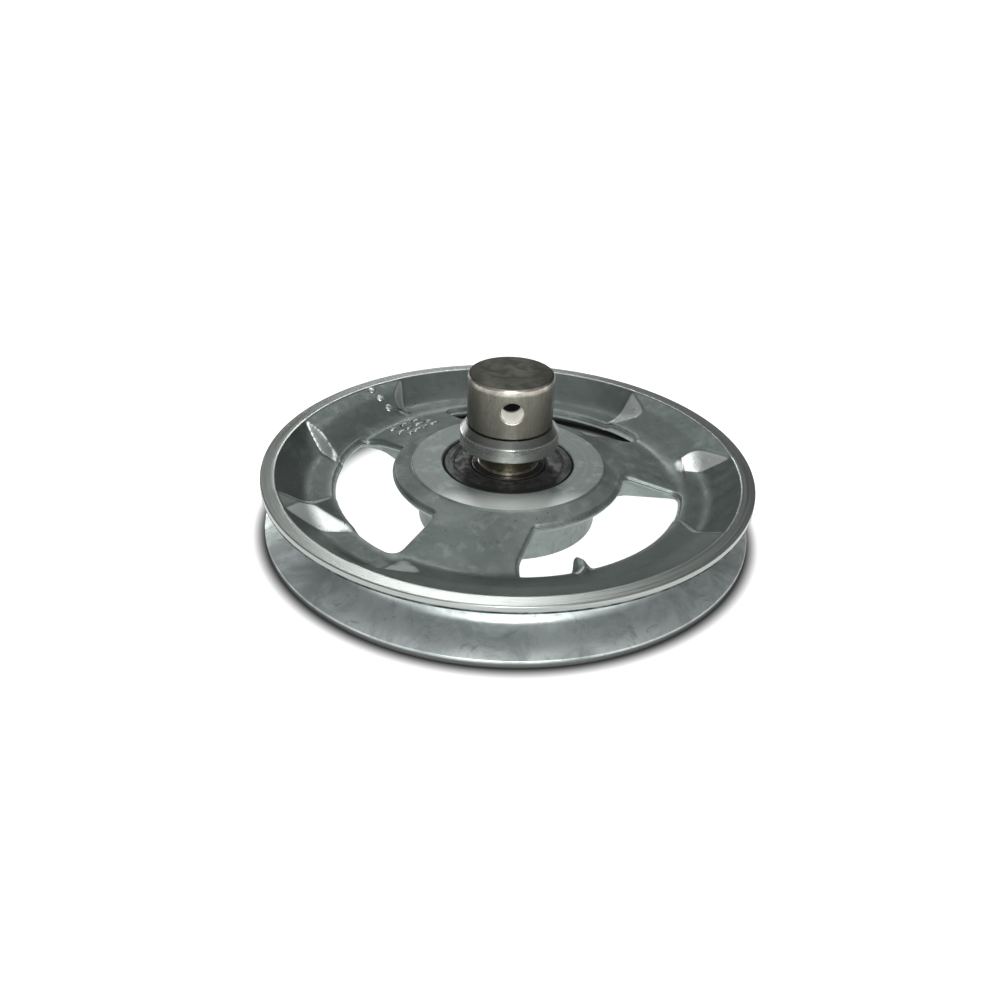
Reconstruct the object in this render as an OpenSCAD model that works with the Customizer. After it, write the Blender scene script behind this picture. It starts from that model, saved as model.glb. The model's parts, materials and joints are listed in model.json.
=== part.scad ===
// V-belt idler pulley: a three-spoke die-cast wheel on a sealed ball bearing, carried by a stub shaft.
// The shaft stands on +Z. The origin is on the shaft's axis, in the plane the lower flange stands on.

/* [Rim and groove] */
// outside diameter over the flanges
rim_od = 192; // [190:1:198]
// width of the rim over both flanges
rim_w = 25; // [25:0.5:26]
// thickness of each flange at its tip
flange_tip = 3; // [2.8:0.1:3.4]
// depth of the belt groove
groove_depth = 13.5; // [12.5:0.5:14]
// width of the flat at the groove's bottom
groove_flat = 7; // [6:0.5:8]
// width of the machined ring on top of each flange
land_w = 6; // [5:0.5:7]

/* [Web and spokes] */
// radius of the windows' outer edge
window_r = 68.1; // [66:0.5:70]
// angle from one side of a window to the other
window_angle = 78.5; // [72:0.5:82]
// corner radius of the windows at the rim side
window_corner = 4; // [3:0.5:6]
// how far each spoke widens towards the hub on the side where a window starts, degrees
flare_turn = 8.6; // [6:0.2:10]
// direction of the first window's middle
window_turn = 72.2; // [0:0.2:120]
// thickness of the web between the windows and the rim
web_t = 3; // [3:0.2:4]
// height of the web's upper face
web_top = 15.8; // [15:0.2:16.5]
// width of the step between a spoke's edge and its stiffening rib
rib_step = 2.2; // [1.5:0.1:3]

/* [Hub] */
// radius of the hub's disc
hub_r = 45.6; // [44:0.2:47]
// radius of the machined face round the bearing
hub_face_r = 37.6; // [35:0.2:39]
// height of the machined face
hub_face_z = 24.5; // [24.2:0.1:25]
// outside radius of the barrel under the disc
barrel_r = 35.5; // [33:0.5:37]
// clear radius through the shoulder under the bearing
shoulder_r = 22; // [20:0.5:23]

/* [Shaft and collar] */
// diameter of the shaft's head
head_d = 33; // [32:0.5:34]
// height of the head's top face
head_top = 62.1; // [58:0.1:66]
// outside diameter of the collar under the head
collar_d = 39.6; // [38:0.2:41]
// height of the collar's lower face
collar_z = 33.1; // [32:0.1:35]
// height of the collar, chamfer included
collar_h = 8.3; // [7.5:0.1:9]
// diameter of the cross hole through the head
cross_d = 8; // [6:0.5:9]
// height of the cross hole's axis
cross_z = 52.7; // [50:0.1:54]

/* [Hidden] */
$fn = 120;
// deep-groove ball bearing, 20 x 52 x 15
brg_bore = 20;
brg_od = 52;
brg_w = 15;
ball_d = 9.525;
ball_pcd = 36;
rim_r = rim_od / 2;
mid_z = rim_w / 2;
land_r = rim_r - land_w;
groove_r = rim_r - groove_depth;
wall_r = rim_r - 16.3;
wall_dz = 4.8;
web_bot = web_top - web_t;
seat_r = brg_od / 2;
brg_top = hub_face_z - 0.5;
brg_bot = brg_top - brg_w;
brg_mid = brg_top - brg_w / 2;
pitch_r = ball_pcd / 2;
ball_r = ball_d / 2;
ball_n = 7;
race_r = 0.52 * ball_d;
race_gap = 0.05;
inner_shoulder_r = 14.4;
outer_shoulder_r = 21.6;
seal_pocket_r = 22.4;
neck_r = brg_bore / 2;
spigot_r = 13;
head_r = head_d / 2;
head_z = collar_z + collar_h + 0.5;
clip_t = 1.2;
clip_gap = 0.05;
groove_depth_clip = 0.5;
fit = 0.02;

c_cast = [0.62, 0.65, 0.64];
c_steel = [0.55, 0.55, 0.53];
c_dark = [0.22, 0.24, 0.23];
c_rubber = [0.12, 0.13, 0.13];
c_bright = [0.78, 0.78, 0.78];
c_oiled = [0.40, 0.37, 0.32];
c_brass = [0.70, 0.66, 0.55];

// ---- casting ----

// Full section from the bearing seat out to the flanges, before the windows are cut.
module casting_section() {
    polygon([
        // hub bore, from the bottom up
        [shoulder_r, 1.8],
        [shoulder_r + 0.8, 1],
        [barrel_r - 0.8, 1],
        [barrel_r, 1.8],
        // underside of the disc and of the spokes
        [barrel_r + 0.5, hub_face_z - 6.2],
        [hub_r, hub_face_z - 6.2],
        [window_r - 3, web_bot],
        // underside of the web and the lower flange
        [wall_r - 6.5, web_bot],
        [wall_r - 3.4, web_bot - 0.9],
        [wall_r - 1.2, web_bot - 2.7],
        [wall_r, mid_z - wall_dz],
        [land_r - 0.4, 0.6],
        [land_r + 0.4, 0],
        [rim_r - 0.7, 0],
        [rim_r, 0.7],
        [rim_r, flange_tip - 0.5],
        [rim_r - 0.4, flange_tip],
        // belt groove
        [groove_r + 1.2, mid_z - groove_flat / 2 - 0.9],
        [groove_r, mid_z - groove_flat / 2 + 1.2],
        [groove_r, mid_z + groove_flat / 2 - 1.2],
        [groove_r + 1.2, mid_z + groove_flat / 2 + 0.9],
        // upper flange
        [rim_r - 0.4, rim_w - flange_tip],
        [rim_r, rim_w - flange_tip + 0.5],
        [rim_r, rim_w - 0.7],
        [rim_r - 0.7, rim_w],
        [land_r + 0.4, rim_w],
        [land_r - 0.4, rim_w - 0.6],
        // inner wall of the rim and its fillet into the web
        [wall_r, mid_z + wall_dz],
        [wall_r - 1.8, web_top + 0.5],
        [wall_r - 4.2, web_top],
        // top of the web, the spokes and the disc's rounded edge
        [window_r - 0.5, web_top],
        [hub_r + 2.2, hub_face_z - 3.9],
        [hub_r + 0.4, hub_face_z - 3.3],
        [hub_r - 0.6, hub_face_z - 2.5],
        [hub_r - 1.9, hub_face_z - 1.8],
        [hub_face_r + 0.9, hub_face_z - 0.7],
        [hub_face_r, hub_face_z],
        // bearing seat
        [seat_r + fit + 0.5, hub_face_z],
        [seat_r + fit, hub_face_z - 0.5],
        [seat_r + fit, brg_bot - 0.02],
        [shoulder_r, brg_bot - 0.02]
    ]);
}

// One window between two spokes, middle on +X, rounded where the spokes meet the rim.
module window_2d() {
    half = window_angle / 2;
    c = window_corner;
    // the corner circle's centre, c away from the spoke's edge and from the window's outer edge
    turn = asin(c / (window_r - c));
    difference() {
        circle(r = window_r);
        circle(r = hub_r + 0.1);
        for (s = [-1, 1])
            mirror([0, s < 0 ? 1 : 0]) {
                // everything past this side of the window
                rotate([0, 0, half])
                    translate([-2 * rim_r, 0])
                        square([4 * rim_r, 2 * rim_r]);
                // the corner outside its circle
                difference() {
                    rotate([0, 0, half - turn])
                        translate([window_r - c, 0])
                            square([2 * c, 2 * c]);
                    rotate([0, 0, half - turn])
                        translate([window_r - c, 0])
                            circle(r = c + 0.01);
                }
            }
        translate([-2 * rim_r, -rim_r])
            square([2 * rim_r, 2 * rim_r]);
        // the spoke's flare at the window's starting side
        rotate([0, 0, -half])
            polygon([
                [60.5, 0],
                [60.5, -9],
                [hub_r - 6, -9],
                [(hub_r - 6) * cos(flare_turn), (hub_r - 6) * sin(flare_turn) + 0.8],
                [hub_r * cos(flare_turn), hub_r * sin(flare_turn)]
            ]);
    }
}

// Thicker stretches of the rim's inner wall that leave pockets between them.
module rim_pad(middle, width) {
    rotate([0, 0, middle - width / 2])
        rotate_extrude(angle = width)
            polygon([
                [land_r + 0.6, rim_w - 0.55],
                [wall_r + 2.9, web_top + 6.3],
                [window_r + 1.3, web_top + 0.7],
                [window_r + 1.3, web_top - 0.8],
                [wall_r + 1.1, web_top - 0.8],
                [wall_r + 6.3, web_top + 4],
                [land_r + 0.6, rim_w - 2.5]
            ]);
}

// Rib under a spoke, set back from the spoke's edges.
module spoke_rib(middle) {
    width = 120 - window_angle - 2 * atan(rib_step / 50);
    rotate([0, 0, middle - width / 2])
        rotate_extrude(angle = width)
            polygon([
                [barrel_r - 1.5, hub_face_z - 5],
                [hub_r, hub_face_z - 5],
                [window_r + 3, web_bot + 1],
                [window_r + 3, web_bot - 0.8],
                [window_r - 4, web_bot - 1.4],
                [hub_r, web_bot - 1.6],
                [barrel_r - 1.5, web_bot - 2.4]
            ]);
}

module pulley_casting() {
    color(c_cast)
    union() {
        difference() {
            // the revolve starts in the middle of a window, so that its seam is cut away
            rotate([0, 0, window_turn])
                rotate_extrude($fn = 180)
                    casting_section();
            for (i = [0:2])
                rotate([0, 0, window_turn + 120 * i])
                    translate([0, 0, -5])
                        linear_extrude(height = 40)
                            window_2d();
        }
        for (i = [0:2]) {
            rim_pad(window_turn + 72 + 120 * i, 40);
            rim_pad(window_turn + 11.5 + 120 * i, 12);
            spoke_rib(window_turn + 60 + 120 * i);
        }
        // gate stub left on one window's edge
        rotate([0, 0, 290.4])
            translate([window_r - 4.6, 0, web_top - 2])
                rotate([0, 90, 0])
                    cylinder(h = 6, r = 1.7, $fn = 32);
        // three raised pips: a plain mould mark
        for (a = [-3, 0, 3])
            rotate([0, 0, window_turn + 62 + a])
                translate([land_r - 9, 0, rim_w - 6])
                    cylinder(h = 3.9, r = 1.1, $fn = 24);
    }
}

// ---- bearing ----

module bearing_outer_ring() {
    shift = race_r - ball_r - race_gap;
    color(c_dark)
    difference() {
        rotate_extrude()
            polygon([
                [seal_pocket_r, brg_bot],
                [seat_r - 1, brg_bot],
                [seat_r, brg_bot + 1],
                [seat_r, brg_top - 1],
                [seat_r - 1, brg_top],
                [seal_pocket_r, brg_top],
                [seal_pocket_r, brg_top - 1.5],
                [outer_shoulder_r, brg_top - 1.5],
                [outer_shoulder_r, brg_bot + 1.5],
                [seal_pocket_r, brg_bot + 1.5]
            ]);
        translate([0, 0, brg_mid])
            rotate_extrude()
                translate([pitch_r - shift, 0])
                    circle(r = race_r, $fn = 64);
    }
}

module bearing_inner_ring() {
    shift = race_r - ball_r - race_gap;
    color(c_steel)
    difference() {
        rotate_extrude()
            polygon([
                [neck_r + fit, brg_bot + 0.8],
                [neck_r + 0.8, brg_bot],
                [inner_shoulder_r - 0.3, brg_bot],
                [inner_shoulder_r, brg_bot + 0.3],
                [inner_shoulder_r, brg_top - 0.3],
                [inner_shoulder_r - 0.3, brg_top],
                [neck_r + 0.8, brg_top],
                [neck_r + fit, brg_top - 0.8]
            ]);
        translate([0, 0, brg_mid])
            rotate_extrude()
                translate([pitch_r + shift, 0])
                    circle(r = race_r, $fn = 64);
    }
}

module bearing_ball(i) {
    color(c_bright)
    rotate([0, 0, 360 / ball_n * (i - 1)])
        translate([pitch_r, 0, brg_mid])
            sphere(r = ball_r, $fn = 64);
}

module bearing_ball_1() {
    bearing_ball(1);
}

module bearing_ball_2() {
    bearing_ball(2);
}

module bearing_ball_3() {
    bearing_ball(3);
}

module bearing_ball_4() {
    bearing_ball(4);
}

module bearing_ball_5() {
    bearing_ball(5);
}

module bearing_ball_6() {
    bearing_ball(6);
}

module bearing_ball_7() {
    bearing_ball(7);
}

// Pressed half cage: a thin ribbon with a cup round each ball. side is 1 above, -1 below.
module cage_half(side) {
    t = 0.8;
    color(c_brass)
    translate([0, 0, brg_mid])
    mirror([0, 0, side > 0 ? 0 : 1])
    difference() {
        intersection() {
            difference() {
                cylinder(h = 6, r = pitch_r + 1.7);
                translate([0, 0, -1])
                    cylinder(h = 8, r = pitch_r - 1.7);
            }
            union() {
                translate([0, 0, 0.02])
                    difference() {
                        cylinder(h = t, r = pitch_r + 3);
                        translate([0, 0, -1])
                            cylinder(h = t + 2, r = pitch_r - 3);
                    }
                for (i = [0:ball_n - 1])
                    rotate([0, 0, 360 / ball_n * i])
                        translate([pitch_r, 0, 0])
                            difference() {
                                sphere(r = ball_r + 0.95, $fn = 48);
                                translate([0, 0, -9.98])
                                    cube([20, 20, 20], center = true);
                            }
            }
        }
        for (i = [0:ball_n - 1]) {
            rotate([0, 0, 360 / ball_n * i])
                translate([pitch_r, 0, 0])
                    sphere(r = ball_r + 0.15, $fn = 48);
            rotate([0, 0, 360 / ball_n * (i + 0.5)])
                translate([pitch_r, 0, -1])
                    cylinder(h = 4, r = 0.8 + fit, $fn = 24);
        }
    }
}

module bearing_cage_upper() {
    cage_half(1);
}

module bearing_cage_lower() {
    cage_half(-1);
}

// Rivets that hold the two cage halves together, one between each pair of balls.
module bearing_cage_rivets() {
    color(c_bright)
    for (i = [0:ball_n - 1])
        rotate([0, 0, 360 / ball_n * (i + 0.5)])
            translate([pitch_r, 0, brg_mid])
                rotate_extrude($fn = 24)
                    polygon([
                        [0, -1.4],
                        [0.9, -1.4],
                        [1.3, -1.0],
                        [1.3, -0.84],
                        [0.8, -0.84],
                        [0.8, 0.84],
                        [1.3, 0.84],
                        [1.3, 1.0],
                        [0.9, 1.4],
                        [0, 1.4]
                    ]);
}

// Ring seal with a steel core; side is 1 above, -1 below.
module bearing_seal(side) {
    color(c_rubber)
    translate([0, 0, brg_mid])
    mirror([0, 0, side > 0 ? 0 : 1])
        rotate_extrude()
            polygon([
                [inner_shoulder_r + 0.2, brg_w / 2 - 1.5],
                [seal_pocket_r - fit, brg_w / 2 - 1.48],
                [seal_pocket_r - fit, brg_w / 2 - 0.3],
                [seal_pocket_r - 0.7, brg_w / 2 - 0.2],
                [seal_pocket_r - 1.3, brg_w / 2 - 0.5],
                [inner_shoulder_r + 1.6, brg_w / 2 - 0.5],
                [inner_shoulder_r + 1, brg_w / 2 - 0.3],
                [inner_shoulder_r + 0.2, brg_w / 2 - 0.7]
            ]);
}

module bearing_seal_upper() {
    bearing_seal(1);
}

module bearing_seal_lower() {
    bearing_seal(-1);
}

// ---- shaft ----

// External circlip: a C-shaped ring with two drilled ears. Lower face at z = 0.
module circlip() {
    seat = neck_r - groove_depth_clip + fit;
    linear_extrude(height = clip_t)
    difference() {
        union() {
            translate([-0.35, 0])
                circle(r = seat + 2.5);
            for (s = [-1, 1])
                rotate([0, 0, s * 16])
                    translate([seat + 1.9, 0])
                        circle(r = 1.9, $fn = 48);
        }
        circle(r = seat);
        translate([seat - 3, -1.2])
            square([9, 2.4]);
        for (s = [-1, 1])
            rotate([0, 0, s * 16])
                translate([seat + 1.9, 0])
                    circle(r = 0.9, $fn = 32);
    }
}

// One circlip above the inner ring and one below it.
module shaft_circlips() {
    color(c_bright) {
        translate([0, 0, brg_top + clip_gap])
            rotate([0, 0, 100])
                circlip();
        translate([0, 0, brg_bot - clip_gap - clip_t])
            rotate([0, 0, 20])
                circlip();
    }
}

module stub_shaft() {
    clip_r = neck_r - groove_depth_clip;
    slot = clip_t + 0.1;
    low = brg_bot - clip_gap - clip_t - 0.05;
    high = brg_top + clip_gap - 0.05;
    color(c_oiled)
    difference() {
        rotate_extrude()
            polygon([
                [0, 2.5],
                [neck_r - 1, 2.5],
                [neck_r, 3.5],
                [neck_r, low],
                [clip_r, low],
                [clip_r, low + slot],
                [neck_r, low + slot],
                [neck_r, high],
                [clip_r, high],
                [clip_r, high + slot],
                [neck_r, high + slot],
                [neck_r, collar_z],
                [spigot_r, collar_z],
                [spigot_r, head_z],
                [head_r - 0.3, head_z],
                [head_r, head_z + 0.3],
                [head_r, head_top - 2.4],
                [head_r - 0.32, head_top - 1.2],
                [head_r - 1.2, head_top - 0.32],
                [head_r - 2.4, head_top],
                [0, head_top]
            ]);
        translate([0, 0, cross_z])
            rotate([90, 0, 0])
                cylinder(h = head_d + 4, r = cross_d / 2, center = true, $fn = 64);
    }
}

// Ring pressed on the spigot under the head, chamfered on top.
module shaft_collar() {
    r = collar_d / 2;
    color(c_bright)
    rotate_extrude()
        polygon([
            [spigot_r + fit, collar_z + 0.4],
            [spigot_r + 0.4, collar_z],
            [r - 0.4, collar_z],
            [r, collar_z + 0.4],
            [r, collar_z + collar_h - 2.3],
            [head_r + 0.5, collar_z + collar_h],
            [spigot_r + fit, collar_z + collar_h]
        ]);
}

pulley_casting();
bearing_outer_ring();
bearing_inner_ring();
bearing_ball_1();
bearing_ball_2();
bearing_ball_3();
bearing_ball_4();
bearing_ball_5();
bearing_ball_6();
bearing_ball_7();
bearing_cage_upper();
bearing_cage_lower();
bearing_cage_rivets();
bearing_seal_upper();
bearing_seal_lower();
shaft_circlips();
stub_shaft();
shaft_collar();
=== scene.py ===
"""Looks of the V-belt pulley round its CAD frame: a die casting, turned steel, procedural materials.

Shapes are worked out in millimetres, in the CAD frame, and written to the meshes in metres.
"""

import json
import math

import bmesh
import bpy
import numpy as np
from mathutils import Matrix, Vector


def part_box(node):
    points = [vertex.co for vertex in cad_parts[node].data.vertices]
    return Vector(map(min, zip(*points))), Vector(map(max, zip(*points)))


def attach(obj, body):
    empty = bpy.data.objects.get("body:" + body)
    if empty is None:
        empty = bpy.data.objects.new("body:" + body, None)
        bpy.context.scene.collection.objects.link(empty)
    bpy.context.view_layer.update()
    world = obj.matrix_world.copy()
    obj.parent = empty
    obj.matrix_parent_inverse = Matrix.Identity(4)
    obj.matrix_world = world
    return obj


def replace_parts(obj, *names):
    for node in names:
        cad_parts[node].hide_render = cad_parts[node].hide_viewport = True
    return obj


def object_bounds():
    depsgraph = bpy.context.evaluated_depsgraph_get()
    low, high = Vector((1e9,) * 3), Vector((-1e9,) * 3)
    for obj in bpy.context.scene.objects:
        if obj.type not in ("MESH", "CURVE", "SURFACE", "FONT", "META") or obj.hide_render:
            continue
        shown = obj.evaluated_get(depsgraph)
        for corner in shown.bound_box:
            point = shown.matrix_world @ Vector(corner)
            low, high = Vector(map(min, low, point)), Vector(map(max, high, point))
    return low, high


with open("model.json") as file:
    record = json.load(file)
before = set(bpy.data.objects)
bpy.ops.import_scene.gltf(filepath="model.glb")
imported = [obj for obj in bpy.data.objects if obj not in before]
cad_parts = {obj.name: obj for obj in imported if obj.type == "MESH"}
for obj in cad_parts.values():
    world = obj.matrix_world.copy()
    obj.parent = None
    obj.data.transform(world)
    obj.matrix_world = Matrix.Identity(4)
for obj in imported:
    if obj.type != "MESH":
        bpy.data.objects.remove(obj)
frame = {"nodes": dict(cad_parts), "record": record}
CAD_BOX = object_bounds()
MM = 0.001


def size_of(node):
    """(low corner, high corner) of a CAD node in millimetres."""
    low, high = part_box(node)
    return low / MM, high / MM


# ---- driving dimensions, millimetres and degrees ----

_, _wheel = size_of("pulley_casting")
RIM_R = _wheel.x
RIM_W = _wheel.z
MID_Z = RIM_W / 2
_shaft_low, _shaft_high = size_of("stub_shaft")
HEAD_R = _shaft_high.x
HEAD_TOP = _shaft_high.z
SHAFT_LOW = _shaft_low.z
_collar_low, _collar_high = size_of("shaft_collar")
COLLAR_R = _collar_high.x
COLLAR_LOW = _collar_low.z
COLLAR_TOP = _collar_high.z
_ring_low, _ring_high = size_of("bearing_outer_ring")
SEAT_R = _ring_high.x
BEARING_LOW = _ring_low.z
BEARING_TOP = _ring_high.z
_clips_low, _clips_high = size_of("shaft_circlips")
CLIP_LOW = _clips_low.z
CLIP_HIGH = _clips_high.z
CROSS = next(m for m in frame["record"]["mounts"] if m["name"] == "cross_hole")

NECK_R = 10.0
SPIGOT_R = 13.0
CLIP_T = 1.2
FIT = 0.02  # gap between parts that are pressed together
COLLAR_WEAR = 0.6  # the collar's radius is this much less than the CAD's, as the photograph has it
HUB_FACE_Z = BEARING_TOP + 0.5
HUB_FACE_R = 37.8
BARREL_R = 35.5
SHOULDER_R = 22.0
LAND_R = RIM_R - 5.3
GROOVE_R = RIM_R - 13.5
FLANK_SLOPE = 0.444  # the groove widens on each side by this much for each millimetre outwards
FLANGE_TIP = 3.0
WEB_TOP = 15.8
WEB_BOT = 12.8

WINDOW_TURN = 72.2  # direction of the first window's middle
WINDOW_HALF = 40.3
WINDOW_IN = 45.6
WINDOW_OUT = 68.1
FLARE_TURN = 8.6  # the spoke at a window's starting side widens by this much towards the hub
FLARE_R = 60.5  # from here inwards
SECTOR_IN = 40.0  # the windows' grids reach from here
SECTOR_OUT = 74.0  # to here
COLUMNS = 720  # points round a full turn


# ---- mesh helpers ----


def smin(a, b, k):
    """Smooth minimum with a blend k wide."""
    h = np.clip(0.5 + 0.5 * (b - a) / k, 0, 1)
    return b * (1 - h) + a * h - k * h * (1 - h)


def smax(a, b, k):
    return -smin(-a, -b, k)


def step(a, b, x):
    """0 before a, 1 past b, smooth between."""
    t = np.clip((x - a) / (b - a), 0, 1)
    return t * t * (3 - 2 * t)


def rounded(corners, turn=14):
    """(a, b, radius) corners of an open outline -> its (a, b) points, with each corner an arc in steps of
    about turn degrees."""
    points = [corners[0][:2]]
    for before, here, after in zip(corners, corners[1:], corners[2:]):
        p = np.array(here[:2], float)
        u = np.array(before[:2], float) - p
        v = np.array(after[:2], float) - p
        lu, lv = np.linalg.norm(u), np.linalg.norm(v)
        u, v = u / lu, v / lv
        half = math.acos(max(-1, min(1, u @ v))) / 2
        radius = here[2]
        if radius <= 0 or half > math.radians(89):
            points.append(tuple(p))
            continue
        reach = min(radius / math.tan(half), 0.48 * lu, 0.48 * lv)
        radius = reach * math.tan(half)
        centre = p + (u + v) / np.linalg.norm(u + v) * radius / math.sin(half)
        start = p + u * reach - centre
        end = p + v * reach - centre
        sweep = math.atan2(start[0] * end[1] - start[1] * end[0], start @ end)
        count = max(2, math.ceil(abs(math.degrees(sweep)) / turn))
        for i in range(count + 1):
            a = sweep * i / count
            c, s = math.cos(a), math.sin(a)
            x = centre[0] + c * start[0] - s * start[1]
            y = centre[1] + s * start[0] + c * start[1]
            points.append((x, y))
    points.append(corners[-1][:2])
    return points


class Builder:
    """Collects grids of points into one welded mesh."""

    def __init__(self):
        self.points = []
        self.faces = []

    def grid(self, rows, wrap=True):
        """rows: array (rows, columns, 3). wrap joins the last column to the first."""
        rows = np.asarray(rows, float)
        base = sum(len(p) for p in self.points)
        count, columns = rows.shape[:2]
        self.points.append(rows.reshape(-1, 3))
        last = columns if wrap else columns - 1
        for i in range(count - 1):
            a = base + i * columns
            for j in range(last):
                k = (j + 1) % columns
                self.faces.append((a + j, a + k, a + columns + k, a + columns + j))

    def fan(self, ring, tip):
        """Closes a ring of points with triangles to one tip."""
        base = sum(len(p) for p in self.points)
        ring = np.asarray(ring, float)
        self.points.append(np.vstack([ring, [tip]]))
        n = len(ring)
        self.faces += [(base + i, base + (i + 1) % n, base + n) for i in range(n)]

    def finish(self, name, material, body, sharp=38):
        """The welded mesh as an object that rides on a body."""
        mesh = bpy.data.meshes.new(name)
        mesh.from_pydata((np.vstack(self.points) * MM).tolist(), [], self.faces)
        bm = bmesh.new()
        bm.from_mesh(mesh)
        bmesh.ops.remove_doubles(bm, verts=bm.verts, dist=0.002 * MM)
        bmesh.ops.dissolve_degenerate(bm, edges=bm.edges, dist=0.001 * MM)
        bmesh.ops.recalc_face_normals(bm, faces=bm.faces)
        bm.to_mesh(mesh)
        bm.free()
        mesh.shade_smooth()
        mesh.set_sharp_from_angle(angle=math.radians(sharp))
        mesh.materials.append(material)
        piece = bpy.data.objects.new(name, mesh)
        bpy.context.scene.collection.objects.link(piece)
        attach(piece, body)
        return piece


def polar(r, angle, z):
    """Points at radius r, angle in degrees and height z; all broadcast."""
    a = np.radians(angle)
    r, a, z = np.broadcast_arrays(r, a, z)
    return np.stack([r * np.cos(a), r * np.sin(a), z], axis=-1)


def turned(profile, columns=COLUMNS, start=0.0):
    """Grid rows of a profile [(r, z), ...] turned about the axis."""
    profile = np.array(profile, float)
    angles = start + np.arange(columns) * 360.0 / columns
    return polar(profile[:, :1], angles[None, :], profile[:, 1:])


# ---- the casting's surfaces as heights over the plan ----

PAD_TOP_R = 0.93 * RIM_R
PAD_FOOT_R = 0.74 * RIM_R
# Raised stretches of the rim's inner wall, two for each window's sector: (start at the top, start at the
# foot, end at the top, end at the foot), in degrees past the window's middle, then the slopes of the
# start and end faces.
RAISED = (
    ((49.5, 55.5, 87.5, 97.5, 1.3, 1.5), (4.2, 0.5, 14.0, 23.5, 0.5, 0.4)),
    ((40.5, 42.5, 150.0, 150.0, 0.3, 0.5), (4.2, 0.5, 14.0, 23.5, 0.5, 0.4)),
    ((50.5, 55.0, 97.0, 96.5, 0.6, 0.42), (-30.0, -30.0, 14.0, 23.5, 0.5, 0.6)),
)

# sections as (radius, height, rounding)
WALL = rounded([
    (60, WEB_TOP, 0), (79.6, WEB_TOP, 9), (LAND_R - 0.5, RIM_W - 0.5, 0.8), (LAND_R, RIM_W, 0.6),
    (RIM_R, RIM_W, 0)
], 6)
RAMP = rounded([
    (60, WEB_TOP, 0), (67.2, WEB_TOP, 1.5), (70.6, WEB_TOP + 1.9, 2), (82.6, 22.9, 14),
    (LAND_R - 0.6, RIM_W - 0.35, 1.5), (LAND_R, RIM_W, 0.6), (RIM_R, RIM_W, 0)
], 6)
CONE = rounded([
    (0, HUB_FACE_Z, 0), (HUB_FACE_R, HUB_FACE_Z, 0.25), (HUB_FACE_R + 0.5, HUB_FACE_Z - 0.55, 0.4),
    (WINDOW_OUT - 0.6, WEB_TOP, 6), (100, WEB_TOP, 0)
], 6)
RIB = [(BARREL_R - 2, 10.4), (WINDOW_IN, 11.2), (WINDOW_OUT - 4, 11.4), (WINDOW_OUT + 3, 12.0)]
BELOW = rounded([
    (0, HUB_FACE_Z - 6.2, 0), (WINDOW_IN, HUB_FACE_Z - 6.2, 3), (WINDOW_OUT - 3, WEB_BOT, 4),
    (100, WEB_BOT, 0)
], 8)


def along(outline, r):
    """Height of a section's outline at radius r."""
    points = np.array(outline)
    return np.interp(r, points[:, 0], points[:, 1])


def from_window(angle):
    """Degrees past the middle of the last window before it, from 0 to 120."""
    return (angle - WINDOW_TURN) % 120.0


def top_height(r, angle):
    """Height of the upper surface."""
    wall, ramp = along(WALL, r), along(RAMP, r)
    share = np.clip((r - PAD_FOOT_R) / (PAD_TOP_R - PAD_FOOT_R), -0.3, 1.1)
    height = wall
    past = from_window(angle)
    sector = ((angle - WINDOW_TURN) % 360.0) // 120.0
    for index, stretches in enumerate(RAISED):
        for start_top, start_foot, end_top, end_foot, start_slope, end_slope in stretches:
            start = start_foot + (start_top - start_foot) * share
            end = end_foot + (end_top - end_foot) * share
            to_start = np.radians(past - start) * r
            to_end = np.radians(end - past) * r
            flank = wall - 0.2 + smin(start_slope * to_start, end_slope * to_end, 0.4)
            raised = smax(height, smin(ramp, flank, 0.5), 0.3)
            height = np.where(sector == index, raised, height)
    return np.minimum(smax(along(CONE, r), height, 0.3), RIM_W)


def bottom_height(r, angle, edge):
    """Height of the lower surface, with the spokes' stiffening ribs. edge is how far inside the spoke's
    edge the point lies."""
    rib = along(RIB, r)
    inside = step(2.1, 2.6, edge) * (r < WINDOW_OUT + 4)
    return along(BELOW, r) * (1 - inside) + np.minimum(rib, along(BELOW, r)) * inside


def spoke_edge(r, angle):
    """How far a point lies from the nearest spoke edge, in millimetres, positive on the spoke."""
    past = from_window(angle)
    flare = FLARE_TURN * np.clip((FLARE_R - r) / (FLARE_R - WINDOW_IN), 0, 1)
    return np.radians(np.minimum(past - WINDOW_HALF, 120 - WINDOW_HALF + flare - past)) * r


# ---- a window's outline ----

SIDE_CELLS = 28
ARC_CELLS = COLUMNS // 3


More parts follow.
